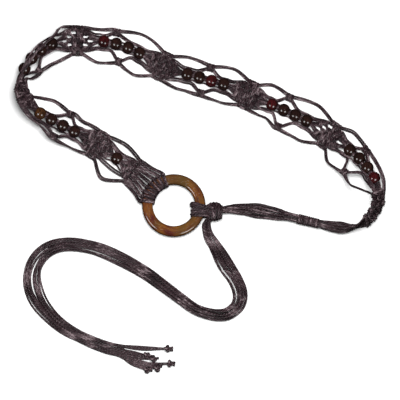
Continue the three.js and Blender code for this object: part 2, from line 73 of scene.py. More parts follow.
UP = Vector((0, 0, 1))

# The belt's sizes in metres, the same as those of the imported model
CLEARANCE = 0.0003
CORD = 0.0018
KNOT_WIDTH = 0.0074
KNOT_PITCH = 0.0039
KNOT_THICKNESS = 0.0052
THREAD_SHOW = 0.0036
SHORT_THREAD_SHOW = 0.0013
SIDE_BOW = 0.0152
SIDE_KNOT_SHARE = 0.81
SIDE_KNOT_LENGTH = 0.0076
PAIR_WIDTH = 0.0034
BEAD = 0.0118
BEAD_GAP = 0.0003
LEVEL_SHARE = 0.38
RING_OUTER = 0.030
RING_INNER = 0.020
RING_THICKNESS = 0.0074
FAN_LENGTH = 0.018
BARREL_LENGTH = 0.015
BARREL_WIDTH = 0.019
BARREL_HEIGHT = 0.013
BARREL_OUT = 0.48
KNOT_LOOP_WALL = 0.003
STRAP_WIDTH = 0.0134
STRAP_HEIGHT = 0.007
STRAP_START_HANDLE = 0.0245
STRAP_END_HANDLE = 0.043
TAIL_WIDTH = 0.013
TAIL_THICKNESS = 0.0062
CORDS = 16
PLIES = 3
SLOT_WIDTH = KNOT_WIDTH / 4

# Directions on the table and the turn on edge where the strap begins, in degrees
HITCH_FROM = 105.5
HITCH_TO = 176.5
BELT_LEAVES = 138
FIRST_HEADING = 142
END_HEADING = -147
END_TILT = -80
KNOT_ANGLE = -8
STRAP_HEADING = 190

# How the cords lie: the pairing at the hitch, the push of a gap in a block and how far it reaches,
# the beads' mouths, the cords that pass their flanks, the winding of the ring knot's barrel, the
# strap's gathering and twist, and its wrap
HITCH_PAIRING = 0.09
GAP_PUSH = 0.0016
GAP_REACH = 0.0034
MOUTH_SHARE = 0.42
FLANK_SHARE = 0.395
FLANK_DIP_SHARE = 0.29
BARREL_TURNS = 4.8
BARREL_FROM = -0.75
BARREL_TO = 1.15
BARREL_SLANT = 0.34
STRAP_GATHERS = 0.2
STRAP_TWIST = 1.4
STRAP_TWISTS_FROM = 0.15
WRAP_FROM = 0.317
WRAP_TO = 0.47
WRAP_PITCH = CORD * 1.02

# How finely the paths, the cords and the turned pieces are made
ROUTE_STEP = 0.0005
FRAME_STEP = 0.001
SHARE_STEP = 0.004
BELT_POINT_STEP = 0.0007
LOOP_POINT_STEP = 0.0009
TAIL_POINT_STEP = 0.002
TAIL_CORD_STEP = 0.0022
TAIL_STEPS = 61
STRAP_STEPS = 25
STRAP_POINTS = 200
WRAP_POINTS = 14
BARREL_POINTS = 20
END_KNOT_STEPS = 48
RING_SIDES = 128
BEAD_SIDES = 36
BEAD_OUTLINE = 40

# The ring's place in the frame, which every table of places is measured from
RING_LOW, RING_HIGH = (Vector(corner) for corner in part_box("ring"))
RING_MIDDLE = Vector(((RING_LOW.x + RING_HIGH.x) / 2, (RING_LOW.y + RING_HIGH.y) / 2, 0))
RING_HEIGHT = (RING_LOW.z + RING_HIGH.z) / 2
RING_RADIUS = (RING_OUTER + RING_INNER) / 2

# Knots in each row of a block
FIRST_BLOCK = (4, 3, 2)
FULL_BLOCK = (2, 3, 4, 3, 4, 3, 2)
LAST_BLOCK = (2, 3, 4, 3, 4, 3, 4, 3, 4)

# One row for each knot block and the beads after it, with what a row leaves out in the plain row.
# Headings and tilts are in degrees at the block, the first bead and the last bead. Pairs name the
# outer cords first: side knots are shares of the stretch, bows are shares of the side cords' bow,
# slack is the share of its bow that a cord takes up before and after its knot, and folds are in
# degrees at the first and last bead. The first row has no side knots, so the second slack of each is
# how far out its inner cords lie. Gaps are open places, as row and half knot widths sideways.
PLAIN_ROW = {
    "knots": FULL_BLOCK, "beads": 4, "tilt": (0, 0, 0), "folds": ((0, 0), (0, 0)), "gaps": (),
}
BELT_ROWS = (
    PLAIN_ROW | {
        "knots": FIRST_BLOCK, "beads": 1, "heading": (142, 140),
        "side_knots": (), "bows": (1.28, 1.28), "slack": ((1.22, 1.3), (0.84, 0.84)),
    },
    PLAIN_ROW | {
        "heading": (148, 154, 152), "tilt": (0, 5, 30),
        "side_knots": (0.44, 0.36), "bows": (1.06, 1.22), "slack": ((0.92, 0.64), (0.72, 1.2)),
    },
    PLAIN_ROW | {
        "heading": (112, 62, 26), "tilt": (62, 86, 40), "folds": ((28, 50), (-52, -16)),
        "side_knots": (0.6, 0.3), "bows": (0.76, 1.14), "slack": ((0.6, 1.15), (0.9, 1.08)),
    },
    PLAIN_ROW | {
        "heading": (0, -6, -31), "tilt": (4, 0, 0),
        "side_knots": (0.35, 0.53), "bows": (0.94, 1.26), "slack": ((0.84, 1.22), (1.05, 1.05)),
        "gaps": ((1, 0), (2, 1), (2, -1), (3, 2), (6, 1), (6, -1), (7, 0)),
    },
    PLAIN_ROW | {
        "heading": (-26, -14, -18),
        "side_knots": (0.53, 0.48), "bows": (1.03, 1.14), "slack": ((1.07, 1.13), (0.88, 0.97)),
    },
    PLAIN_ROW | {
        "heading": (-26, -23, -28),
        "side_knots": (0.39, 0.42), "bows": (1.12, 1.34), "slack": ((1.05, 1.08), (0.68, 0.92)),
    },
    PLAIN_ROW | {
        "heading": (-36, -41, -62), "tilt": (0, -10, -48), "folds": ((0, 0), (8, 30)),
        "side_knots": (0.33, 0.39), "bows": (1.05, 1.55), "slack": ((1.03, 1), (0.93, 1)),
        "gaps": ((1, 0), (2, 1), (3, 2), (7, 0)),
    },
    PLAIN_ROW | {"knots": LAST_BLOCK, "beads": 0, "heading": (-112,), "tilt": (-73,)},
)

# Sections of the gathered strap: share of its length, then shares of its width and height for the
# width, height and rise over the table
STRAP_SECTIONS = (
    (0, 0.34, 3.7, 0.15),
    (0.06, 0.78, 2.6, 0.15),
    (0.13, 1, 1.6, 0.05),
    (0.22, 0.78, 1.15, 0.05),
    (0.32, 0.55, 1, 0.28),
    (0.53, 0.6, 1, 0.28),
    (0.64, 0.95, 0.92, 0),
    (0.76, 1.12, 0.86, 0),
    (0.88, 0.82, 0.86, 0.1),
    (1, 0.49, 0.93, 0.43),
)

# Route of the tail's middle on the table, measured from the ring's centre
TAIL_ROUTE = (
    (0.0312, -0.0164), (0.0324, -0.027), (0.0394, -0.039), (0.0496, -0.058), (0.059, -0.0725),
    (0.0631, -0.086), (0.0596, -0.0972), (0.0465, -0.1045), (0.024, -0.1), (0.007, -0.0892),
    (-0.0075, -0.0785), (-0.0292, -0.0624), (-0.0557, -0.0485), (-0.0777, -0.0402),
    (-0.1, -0.0367), (-0.1175, -0.0404), (-0.13, -0.0515), (-0.135, -0.068), (-0.1302, -0.0865),
    (-0.12, -0.101), (-0.104, -0.1153), (-0.0825, -0.127), (-0.0615, -0.1355), (-0.046, -0.139),
)

# Sections of the tail: share of its length, then shares of its width and thickness
TAIL_SECTIONS = (
    (0, 0.85, 1),
    (0.035, 1.1, 1),
    (0.09, 1.32, 1),
    (0.15, 1.05, 0.97),
    (0.24, 0.96, 0.95),
    (0.36, 1.06, 0.95),
    (0.48, 1, 0.9),
    (0.6, 1.12, 0.9),
    (0.72, 1.58, 0.75),
    (0.84, 1.02, 0.9),
    (1, 1.04, 0.42),
)

# Where each end knot lies, the last bend of the cords that lead to it, and how many cords it ties
END_KNOTS = (
    ((-0.0061, -0.1363), (-0.030, -0.1358), 3),
    ((-0.0254, -0.1426), (-0.036, -0.141), 3),
    ((-0.0192, -0.146), (-0.033, -0.1437), 2),
    ((-0.0034, -0.1503), (-0.026, -0.1506), 3),
    ((-0.0155, -0.155), (-0.028, -0.152), 2),
    ((-0.0253, -0.1562), (-0.040, -0.1495), 3),
)

# Height of an end knot's middle, size of its loops and thickness of the cords that it swells
END_KNOT_REST = 0.0032
END_KNOT_SCALE = 0.00086
END_CORD = CORD * 1.2

# Way of each cord through a square knot: share of the pitch along, cord diameters across and up.
# The front cord crosses over the two core cords twice, and the back cord crosses under them twice.
FRONT_CORD = (
    (-0.44, 1.55, 0.0), (-0.33, 0.75, 0.92), (-0.22, -0.75, 0.92), (-0.09, -1.6, -0.15),
    (0.09, -1.6, -0.15), (0.22, -0.75, 0.92), (0.33, 0.75, 0.92), (0.44, 1.55, 0.0),
)
BACK_CORD = (
    (-0.44, -1.55, 0.0), (-0.33, -0.75, -0.92), (-0.22, 0.75, -0.92), (-0.1, 1.6, 0.3),
    (0.1, 1.6, 0.3), (0.22, 0.75, -0.92), (0.33, -0.75, -0.92), (0.44, -1.55, 0.0),
)
CORE_SHARE = 0.3

# Way of a cord through its lark's head, with how far it is drawn towards its other half: the bar
# outside the ring by height, the turn round the ring by shares of the ring's half width and height
# with a cord on it, and the fan by shares of the way to the first knots
HITCH_BAR = ((1.1, 0.5), (1.05, 0.1), (0.5, -0.15))
HITCH_WAY = (
    (0.95, -0.6, 0), (0.0, -1.0, 0), (-0.85, -0.75, 0), (-1.0, 0.0, 0),
    (-0.85, 0.8, HITCH_PAIRING), (0.0, 1.0, HITCH_PAIRING), (0.75, 0.8, HITCH_PAIRING),
)
HITCH_FAN = ((0.45, 0.08), (0.75, 0.04))
WIDE = RING_OUTER - RING_RADIUS + CORD / 2
TALL = RING_THICKNESS / 2 + CORD / 2

# Way of the ring knot's loop over and under the ring: shares of the ring's half width and height,
# and how far it has gone from the place at the inner edge to the place at the barrel
LOOP_WAY = (
    (1.6, 0.9, 1), (0.9, 1.1, 0.75), (0.0, 1.1, 0.4), (-0.8, 1.0, 0.05), (-1.12, 0.1, 0),
    (-0.85, -0.9, 0), (0.0, -1.0, 0.3), (0.9, -0.95, 0.7), (1.6, -0.5, 1),
)

# Strands of the loop: place at the inner edge and at the barrel, in cord diameters, and layer
LOOP_STRANDS = (
    (-4.4, -3.4, 0.2), (-3.5, -2.5, 0.6), (-2.5, -1.7, 0.3), (-1.5, -0.8, 0.7), (-0.5, 0.1, 0.3),
    (0.5, 0.9, 0.6), (1.5, 1.6, 0.3), (2.4, 1.0, 1.2), (1.7, 0.0, 1.45), (0.9, -1.0, 1.25),
)

# Places of the six threaded cords in a bead's bore, in cord diameters
THREAD_PLACES = ((0.85, 0.0), (0.4, 0.7), (0.4, -0.7), (-0.4, 0.7), (-0.4, -0.7), (-0.85, 0.0))
THREADED = (5, 6, 7, 8, 9, 10)
FLANKS = (4, 11)

# Side cords from the edge inwards: cord diameters out from the bow or from the beads, and up, with
# how far the inner edge's lie further out and how loosely they lie, and the shares of the way at
# which they bow, hug the beads or hang in a loop
SIDE_PLACES = ((0.3, 0.4), (-0.3, -0.45), (0.75, -0.3), (-0.2, -0.3))
INNER_OUT = 0.3
SIDE_LOOSE = 0.2
BOW_SHARES = (0.35, 0.65)
HUG_SHARES = (0.25, 0.5, 0.75)
LOOP_SHARES = (0.3, 0.5, 0.7)

# Where the lights stand, in metres from the ring, and the camera's sensor in millimetres
SOFT_BOXES = ((-0.75, -0.4, 0.75), (0.5, -0.75, 0.7))
OVERHEAD = (0.05, 0.05, 1.2)
SENSOR_WIDTH = 36


def length_setting(name, description, default):
    return FloatProperty(
        name=name, description=description, default=default, unit="LENGTH", precision=5,
    )


def colour_setting(name, description, default):
    return FloatVectorProperty(
        name=name, description=description, default=default, subtype="COLOR", min=0, max=1,
    )


def roughness_setting(description, default):
    return FloatProperty(name="Roughness", description=description, default=default, min=0, max=1)


class BELT_PG_cord(PropertyGroup):
    """Sizes and colours of the waxed cord"""
    ply_pitch: length_setting("Ply Pitch", "Length of one turn of the cord's twist", 0.0084)
    ply_depth: length_setting("Ply Depth", "Depth of the grooves between the plies", 0.0005)
    # Painted shade: the grooves between the plies are coloured near black, and the ridges lighter,
    # partly from worn wax
    painted_groove_shade: colour_setting("Groove", "Colour in the cord's grooves", (0.0045, 0.0024, 0.0031))
    ridge: colour_setting("Ridge", "Colour on the cord's waxed ridges", (0.076, 0.043, 0.051))
    # Painted sheen: light streaks on the ridges stand in for highlights on the wax
    painted_sheen: colour_setting("Painted_Sheen", "Colour where the cord has faded", (0.310, 0.234, 0.250))
    roughness: roughness_setting("Roughness of the wax", 0.32)
    sides: IntProperty(
        name="Side Pairs", description="Pairs of sides of a cord past its first four", default=2,
        min=0,
    )


class BELT_PG_bead(PropertyGroup):
    """Sizes and colours of the beads"""
    bore: length_setting("Bore", "Width of the hole", 0.0046)
    rim: length_setting("Rim", "Rounding of the hole's rim", 0.0003)
    dark: colour_setting("Dark", "Colour of the dark wood", (0.0075, 0.0042, 0.0038))
    warm: colour_setting("Warm", "Colour of the dark wood's grain", (0.045, 0.018, 0.014))
    red: colour_setting("Red", "Colour of the red wood's grain", (0.110, 0.009, 0.013))
    amber: colour_setting("Amber", "Colour of the amber wood's grain", (0.130, 0.050, 0.016))
    roughness: roughness_setting("Roughness of the polish", 0.12)


class BELT_PG_ring(PropertyGroup):
    """Sizes and colours of the ring"""
    rounding: length_setting("Rounding", "Radius of the rounded edges", 0.0032)
    amber: colour_setting("Amber", "Colour of the light grain", (0.210, 0.078, 0.013))
    brown: colour_setting("Brown", "Colour of the dark grain", (0.072, 0.016, 0.012))
    olive: colour_setting("Olive", "Colour of the cloudy patches", (0.085, 0.046, 0.015))
    roughness: roughness_setting("Roughness of the lacquer", 0.16)


class BELT_PG_stage(PropertyGroup):
    """Floor, lights and camera"""
    floor: colour_setting("Floor", "Colour of the floor", (0.93, 0.93, 0.93))
    elevation: FloatProperty(
        name="Elevation", description="Height of the view over the table",
        default=math.radians(80), subtype="ANGLE",
    )
    view_width: length_setting("View Width", "Width of the table in view", 0.380)
    view_middle: FloatVectorProperty(
        name="View Middle", description="Middle of the view, measured from the ring's centre",
        size=2, default=(0.0248, 0.0062), unit="LENGTH",
    )
    lens: FloatProperty(name="Lens", description="Focal length in millimetres", default=300)
    sky: FloatProperty(name="Sky", description="Strength of the light all round", default=0.12)
    key: FloatProperty(name="Key", description="Power of each soft box in watts", default=6)
    overhead: FloatProperty(
        name="Overhead", description="Power of the light over the table in watts", default=20,
    )
    lamp: length_setting("Soft Box", "Width of each light", 0.5)


class Track:
    """A value that changes along a path, from a column of rows that start with a place."""

    def __init__(self, rows, column=1, size=1, eased=False):
        self.places = [row[0] for row in rows]
        self.values = [row[column] * size for row in rows]
        self.eased = eased

    def __call__(self, at):
        index = bisect_right(self.places, at)
        if index == 0:
            return self.values[0]
        if index == len(self.places):
            return self.values[-1]
        low, high = self.places[index - 1], self.places[index]
        share = (at - low) / (high - low)
        if self.eased:
            share = ease(share)
        return mix(self.values[index - 1], self.values[index], share)


def ease(share):
    share = min(max(share, 0), 1)
    return share * share * (3 - 2 * share)


def mix(low, high, share):
    return low + (high - low) * share


def path_length(points):
    return sum((after - before).length for before, after in zip(points, points[1:]))


def path_track(points):
    """A path of points, by the share of its length."""
    places = [0]
    for before, after in zip(points, points[1:]):
        places.append(places[-1] + (after - before).length)
    return Track([(place / places[-1], point) for place, point in zip(places, points)])


def level_side(curve, share):
    """The level direction across a path at a share of its length."""
    return UP.cross((curve(share + SHARE_STEP) - curve(share - SHARE_STEP)).normalized())


def flat_direction(degrees):
    angle = math.radians(degrees)
    return Vector((math.cos(angle), math.sin(angle), 0))


class Stretch:
    """Beads and side cords between two knot blocks."""

    def __init__(self, start, end, beads, row):
        self.start = start
        self.end = end
        self.beads = beads
        self.side_knots = row["side_knots"]
        self.bows = row["bows"]
        self.slack = row["slack"]
        self.folds = [
            Track([(start, 0), (beads[0], first), (beads[-1] + 1e-6, last), (end, 0)], eased=True)
            for first, last in row["folds"]
        ]


class Belt:
    """The belt's layout: places of blocks and beads along it and the frame at each place."""

    def __init__(self):
        self.blocks = []
        self.stretches = []
        turns = [(0, FIRST_HEADING, 0)]
        levels = []
        at_knots = (KNOT_THICKNESS / 2, 2 * KNOT_WIDTH + CLEARANCE)
        at_beads = (BEAD / 2, SIDE_BOW + PAIR_WIDTH / 2)
        along = FAN_LENGTH
        for row in BELT_ROWS:
            end = along + (len(row["knots"]) + 1) * KNOT_PITCH
            self.blocks.append((along, end, row["knots"], row["gaps"]))
            levels += [(at, *at_knots) for at in (along + KNOT_PITCH, end - KNOT_PITCH)]
            turns.append(((along + end) / 2, row["heading"][0], row["tilt"][0]))
            along = end
            if not row["beads"]:
                continue
            show = THREAD_SHOW if row["beads"] > 1 else SHORT_THREAD_SHOW
            first = end + show + BEAD / 2
            beads = [first + bead * (BEAD + BEAD_GAP) for bead in range(row["beads"])]
            along = beads[-1] + BEAD / 2 + show
            self.stretches.append(Stretch(end, along, beads, row))
            turns += zip(beads[::max(row["beads"] - 1, 1)], row["heading"][1:], row["tilt"][1:])
            level = LEVEL_SHARE * BEAD
            levels += [(at, *at_beads) for at in (beads[0] - level, beads[-1] + level)]
        turns.append((along, END_HEADING, END_TILT))
        self.end = along
        self.heading = Track(turns, 1)
        self.tilt = Track(turns, 2)
        self.half = Track(levels, 1, eased=True)
        self.reach = Track(levels, 2, eased=True)
        self.route = self.trace()
        steps = int((self.end + 0.004) / FRAME_STEP)
        self.frames = [self.measure(step * FRAME_STEP) for step in range(steps)]

    def trace(self):
        """Plan of the belt's middle, a point for each step."""
        point = RING_MIDDLE + flat_direction(BELT_LEAVES) * RING_OUTER
        points = [point.copy()]
        at = ROUTE_STEP / 2
        while at < self.end + KNOT_PITCH:
            point = point + flat_direction(self.heading(at)) * ROUTE_STEP
            points.append(point.copy())
            at += ROUTE_STEP
        return points

    def middle(self, along):
        steps = min(max(along / ROUTE_STEP, 0), len(self.route) - 2)
        index = int(steps)
        plan = self.route[index].lerp(self.route[index + 1], steps - index)
        tilt = math.radians(abs(self.tilt(along)))
        plan.z = abs(math.cos(tilt)) * self.half(along) + math.sin(tilt) * self.reach(along)
        return plan

    def measure(self, along):
        """Origin, tangent, side and up of the belt at a distance along it."""
        tangent = (self.middle(along + ROUTE_STEP) - self.middle(along - ROUTE_STEP)).normalized()
        level = UP.cross(tangent).normalized()
        upright = tangent.cross(level)
        tilt = math.radians(self.tilt(along))
        side = level * math.cos(tilt) + upright * math.sin(tilt)
        up = upright * math.cos(tilt) - level * math.sin(tilt)
        return self.middle(along), tangent, side, up

    def at(self, along):
        steps = min(max(along / FRAME_STEP, 0), len(self.frames) - 1.001)
        index = int(steps)
        share = steps - index
        pair = zip(self.frames[index], self.frames[index + 1])
        return [low.lerp(high, share) for low, high in pair]

    def place(self, along, across, height):
        origin, _, side, up = self.at(along)
        return origin + side * across + up * height

    def table_drop(self, along, rest):
        """How far below the belt's middle a thing lies whose own middle rests this high."""
        return (self.half(along) - rest) * math.cos(math.radians(self.tilt(along)))


@lru_cache(maxsize=1)
def belt():
    return Belt()


class Strand:
    """A cord's way points, each with the piece that the stretch after it belongs to."""

    def __init__(self):
        self.points = []
        self.pieces = []

    def add(self, piece, point):
        if self.points and (self.points[-1] - point).length < 0.0001:
            return
        self.points.append(point)
        self.pieces.append(piece)

    def directions(self):
        last = len(self.points) - 1
        for index in range(last + 1):
            before = self.points[max(index - 1, 0)]
            after = self.points[min(index + 1, last)]
            yield (after - before).normalized()

    def runs(self, step):
        """The strand as smooth runs of close points, one or more for each piece."""
        directions = list(self.directions())
        found = []
        along = 0
        for index in range(len(self.points) - 1):
            start, end = self.points[index], self.points[index + 1]
            length = (end - start).length
            count = max(2, math.ceil(length / step)) + 1
            handle = length / 3
            curve = interpolate_bezier(
                start, start + directions[index] * handle,
                end - directions[index + 1] * handle, end, count,
            )
            if not found or found[-1][0] != self.pieces[index]:
                found.append((self.pieces[index], along, [curve[0]]))
            found[-1][2].extend(curve[1:])
            along += length
        return found


def slot_across(cord):
    """Place of a cord across the flat belt, the outer edge first."""
    return (CORDS / 2 - 0.5 - cord) * SLOT_WIDTH


def paired_across(cord, apart):
    """Place of a cord across the flat belt, drawn towards the other half of its lark's head."""
    partner = cord + 1 if cord % 2 == 0 else cord - 1
    return mix(slot_across(cord), slot_across(partner), apart)


def square_knot(role):
    """Way points of one of a square knot's four cords, the outermost first."""
    if role == 0:
        return FRONT_CORD
    if role == 3:
        return BACK_CORD
    across = 0.5 if role == 1 else -0.5
    return ((-CORE_SHARE, across, 0.0), (CORE_SHARE, across, 0.0))


def opened(start, along, across, gaps):
    """Moves a place in a block away from the gaps in it."""
    for row, half in gaps:
        away = Vector((along - start - row * KNOT_PITCH, across - half * KNOT_WIDTH / 2))
        distance = away.length
        push = GAP_PUSH * math.exp(-((distance / GAP_REACH) ** 2))
        if distance > 0:
            away = away / distance * push
        along += away.x
        across += away.y
    return along, across


def knot_rows(knots, cord):
    """Rows in which a cord takes part, from its first knot to its last: row, knot's half, role."""
    rows = []
    for row, count in enumerate(knots, 1):
        first = CORDS // 2 - 2 * count
        inside = first <= cord < CORDS - first
        if inside:
            knot = (cord - first) // 4
            rows.append((row, count - 1 - 2 * knot, (cord - first) % 4))
        else:
            rows.append((row, None, None))
    while rows and rows[0][1] is None:
        rows.pop(0)
    while rows and rows[-1][1] is None:
        rows.pop()
    return rows


def through_block(strand, number, cord):
    """Takes a cord through one knot block."""
    start, _, knots, gaps = belt().blocks[number]
    piece = f"knot_block_{number}"
    for row, half, role in knot_rows(knots, cord):
        middle = start + row * KNOT_PITCH
        if half is None:
            edge = slot_across(cord) * 1.02
            strand.add(piece, belt().place(middle, edge, 0))
            continue
        for share, across, height in square_knot(role):
            along, side = opened(
                start, middle + share * KNOT_PITCH, half * KNOT_WIDTH / 2 + across * CORD, gaps,
            )
            strand.add(piece, belt().place(along, side, height * CORD))


def block_edge(number, cord, leaving):
    """Place along the belt where a cord leaves or enters a knot block."""
    start, _, knots, _ = belt().blocks[number]
    rows = knot_rows(knots, cord)
    row = rows[-1][0] if leaving else rows[0][0]
    return start + (row + (0.5 if leaving else -0.5)) * KNOT_PITCH


def along_beads(strand, number, cord):
    """Takes one of the middle cords through the beads, or along their lower flanks."""
    beads = belt().stretches[number].beads
    piece = f"knot_block_{number}"
    mouth = BEAD * MOUTH_SHARE
    if cord in FLANKS:
        side = 1 if cord == FLANKS[0] else -1
        between = [(before + after) / 2 for before, after in zip(beads, beads[1:])]
        for along in sorted([beads[0] - mouth, *beads, *between, beads[-1] + mouth]):
            lean = abs(math.sin(math.radians(belt().tilt(along))))
            flat = FLANK_DIP_SHARE if along in between else FLANK_SHARE
            across = mix(BEAD * flat, (BEAD + CORD) / 2, lean)
            drop = mix(belt().half(along) - CORD / 2, 0, lean)
            strand.add(piece, belt().place(along, side * across, -drop))
        return
    across, height = THREAD_PLACES[cord - THREADED[0]]
    for along in (beads[0] - mouth, beads[0], beads[-1], beads[-1] + mouth):
        strand.add(piece, belt().place(along, across * CORD, height * CORD))


class SideWay:
    """The way of one cord beside the beads, from one knot block to the next."""

    def __init__(self, number, cord):
        self.stretch = belt().stretches[number]
        self.outer = cord < CORDS / 2
        self.rank = cord if self.outer else CORDS - 1 - cord
        self.side = 1 if self.outer else -1
        self.leave = block_edge(number, cord, leaving=True)
        self.enter = block_edge(number + 1, cord, leaving=False)
        self.slot = abs(slot_across(cord))
        edge = 0 if self.outer else 1
        self.bow = SIDE_BOW * self.stretch.bows[edge]
        self.slack = self.stretch.slack[edge]
        self.fold = self.stretch.folds[edge]
        self.points = []

    def add(self, along, out, lift=0):
        """Adds a place out from the beads, folded up with the stretch's edge."""
        fold = math.radians(self.fold(along))
        across = self.side * out
        height = lift - belt().table_drop(along, KNOT_THICKNESS / 2)
        turned = across * math.sin(fold) + height * math.cos(fold)
        self.points.append((along, across * math.cos(fold) - height * math.sin(fold), turned))

    def loose(self):
        """A stretch without side knots: both outer cords hang in one loop."""
        bow = self.bow * self.slack[0]
        hug = BEAD * self.slack[1]
        out = (bow + CORD * 0.4, bow - CORD * 0.8, hug * 0.76, hug * 0.6)[self.rank]
        for share in LOOP_SHARES:
            self.add(mix(self.leave, self.enter, share), mix(self.slot, out, 1 - (2 * share - 1) ** 2))

    def tied(self, rng):
        """A stretch with one side knot: out to the bow or along the beads, and in to the knot."""
        stretch = self.stretch
        knot_at = mix(stretch.start, stretch.end, stretch.side_knots[0 if self.outer else 1])
        before = knot_at - SIDE_KNOT_LENGTH / 2
        after = knot_at + SIDE_KNOT_LENGTH / 2
        self.run(self.leave, before, self.slack[0], rng)
        reach = self.bow * SIDE_KNOT_SHARE
        role = self.rank if self.outer else 3 - self.rank
        for bar in (0.25, 0.75):
            middle = mix(before, after, bar)
            for share, across, height in square_knot(role):
                along = middle + share * SIDE_KNOT_LENGTH / 2
                self.add(along, reach + self.side * across * CORD * 1.1, height * CORD)
        self.run(after, self.enter, self.slack[1], rng)

    def run(self, start, end, slack, rng):
        """From a block to the side knot or back: the outer pair bows out, the inner pair hugs."""
        loose = rng.uniform(-SIDE_LOOSE, SIDE_LOOSE) * CORD
        out, lift = SIDE_PLACES[self.rank]
        shares, edge = BOW_SHARES, self.bow * slack
        if self.rank > 1:
            shares, edge = HUG_SHARES, BEAD / 2 + (0 if self.outer else CORD * INNER_OUT)
        for share in shares:
            self.add(mix(start, end, share), edge + out * CORD + loose, lift * CORD)


def beside_beads(strand, number, cord):
    """Takes one of the edge cords past the beads, through its side knot."""
    way = SideWay(number, cord)
    name = "outer_cords" if way.outer else "inner_cords"
    if way.stretch.side_knots:
        way.tied(random.Random(100 * number + cord))
    else:
        way.loose()
        if way.rank > 1:
            name = "knot_block"
    for along, across, height in way.points:
        point = belt().place(along, across, height)
        point.z = max(point.z, CORD / 2)
        strand.add(f"{name}_{number}", point)


def hitch_place(cord, radius, height, apart):
    """Place on the ring where a cord is folded over it, drawn towards its other half."""
    share = 0.5 + paired_across(cord, apart) / (4 * KNOT_WIDTH)
    direction = flat_direction(mix(HITCH_FROM, HITCH_TO, share))
    return RING_MIDDLE + direction * radius + UP * (RING_HEIGHT + height)


def over_ring(strand, cord):
    """Takes a cord from the middle of its lark's head, round the ring and out to the first knots."""
    for height, apart in HITCH_BAR:
        strand.add("ring_hitch", hitch_place(cord, RING_OUTER + CORD * 0.6, height * TALL, apart))
    for across, height, apart in HITCH_WAY:
        radius = RING_RADIUS + across * WIDE
        strand.add("ring_hitch", hitch_place(cord, radius, height * TALL, apart))
    strand.add("ring_hitch", hitch_place(cord, RING_OUTER + CORD * 1.7, 0, HITCH_PAIRING))
    for share, apart in HITCH_FAN:
        start = hitch_place(cord, RING_OUTER + CORD, 0, apart)
        end = belt().place(FAN_LENGTH, paired_across(cord, apart), 0)
        strand.add("ring_hitch", start.lerp(end, share))


def barrel_middle():
    away = RING_OUTER + KNOT_LOOP_WALL + BARREL_LENGTH * BARREL_OUT
    return RING_MIDDLE + flat_direction(KNOT_ANGLE) * away


class Strap:
    """The gathered strap's curve, with its section at each share of its length."""

    def __init__(self):
        origin, tangent, _, _ = belt().at(belt().end + CLEARANCE)
        direction = flat_direction(STRAP_HEADING)
        end = barrel_middle() - direction * (BARREL_LENGTH / 2 + CLEARANCE)
        start = origin.copy()
        handle = origin + tangent * STRAP_START_HANDLE
        for point in (start, handle):
            point.z = 0
        points = interpolate_bezier(
            start, handle, end - direction * STRAP_END_HANDLE, end, STRAP_POINTS,
        )
        self.length = path_length(points)
        self.curve = path_track(points)
        self.width = Track(STRAP_SECTIONS, 1, STRAP_WIDTH, eased=True)
        self.height = Track(STRAP_SECTIONS, 2, STRAP_HEIGHT, eased=True)
        self.rise = Track(STRAP_SECTIONS, 3, STRAP_HEIGHT, eased=True)

    def place(self, share, across, up, spread=0):
        """A place in the section, from -1 to 1 across and up, on the wall of the bundle."""
        side = level_side(self.curve, share)
        width = self.width(share) / 2 + spread
        height = self.height(share) / 2 + spread
        middle = self.rise(share) + self.height(share) / 2
        return self.curve(share) + side * across * width + UP * (middle + up * height)


@lru_cache(maxsize=1)
def strap():
    return Strap()


def bundle_places():
    """Places of the cords in a round bundle, from the top down."""
    places = []
    for radius, count, turn in ((0.95, 11, 0.2), (0.42, 5, 0.5)):
        for number in range(count):
            angle = math.tau * (number + turn) / count
            places.append((radius * math.cos(angle), radius * math.sin(angle)))
    return sorted(places, key=lambda place: place[1])


def into_strap(strand, cord):
    """Takes a cord from the last knots, through the gathered strap, into the knot on the ring."""
    piece = "gathered_strap"
    across, up = bundle_places()[cord]
    line = -slot_across(cord) / (CORDS / 2 * SLOT_WIDTH)
    for step in range(1, STRAP_STEPS + 1):
        share = step / STRAP_STEPS
        gather = ease(share / STRAP_GATHERS)
        turn = STRAP_TWIST * max(share - STRAP_TWISTS_FROM, 0)
        turned_across = across * math.cos(turn) - up * math.sin(turn)
        turned_up = across * math.sin(turn) + up * math.cos(turn)
        strand.add(piece, strap().place(
            share, mix(0, turned_across, gather), mix(line, turned_up, gather), -CORD * 0.35 * gather,
        ))
    inside = barrel_middle() + UP * BARREL_HEIGHT / 2
    strand.add(piece, strand.points[-1].lerp(inside, 0.5))


@lru_cache(maxsize=1)
def belt_runs():
    """Runs of every cord of the belt, by piece."""
    found = defaultdict(list)
    middle = set(THREADED) | set(FLANKS)
    for cord in range(CORDS):
        strand = Strand()
        over_ring(strand, cord)
        for number in range(len(belt().blocks)):
            through_block(strand, number, cord)
            if number == len(belt().stretches):
                break
            if cord in middle:
                along_beads(strand, number, cord)
            else:
                beside_beads(strand, number, cord)
        into_strap(strand, cord)
        for piece, along, points in strand.runs(BELT_POINT_STEP):
            found[piece].append((along, points))
    return found


def cord_mesh(name, runs, diameter):
    """Tubes along runs of points, with the distance along and round them as their UV map."""
    curve = bpy.data.curves.new(name, "CURVE")
    curve.dimensions = "3D"
    curve.bevel_depth = diameter / 2
    curve.bevel_resolution = bpy.context.scene.belt_cord.sides
    for _, points in runs:
        spline = curve.splines.new("POLY")
        spline.points.add(len(points) - 1)
        flat = [value for point in points for value in (*point, 1)]
        spline.points.foreach_set("co", flat)
        spline.use_smooth = True
    source = bpy.data.objects.new(name + "_path", curve)
    mesh = bpy.data.meshes.new_from_object(source)
    mesh.name = name
    bpy.data.objects.remove(source)
    bpy.data.curves.remove(curve)
    stretch_uv(mesh, runs)
    close_ends(mesh)
    return mesh


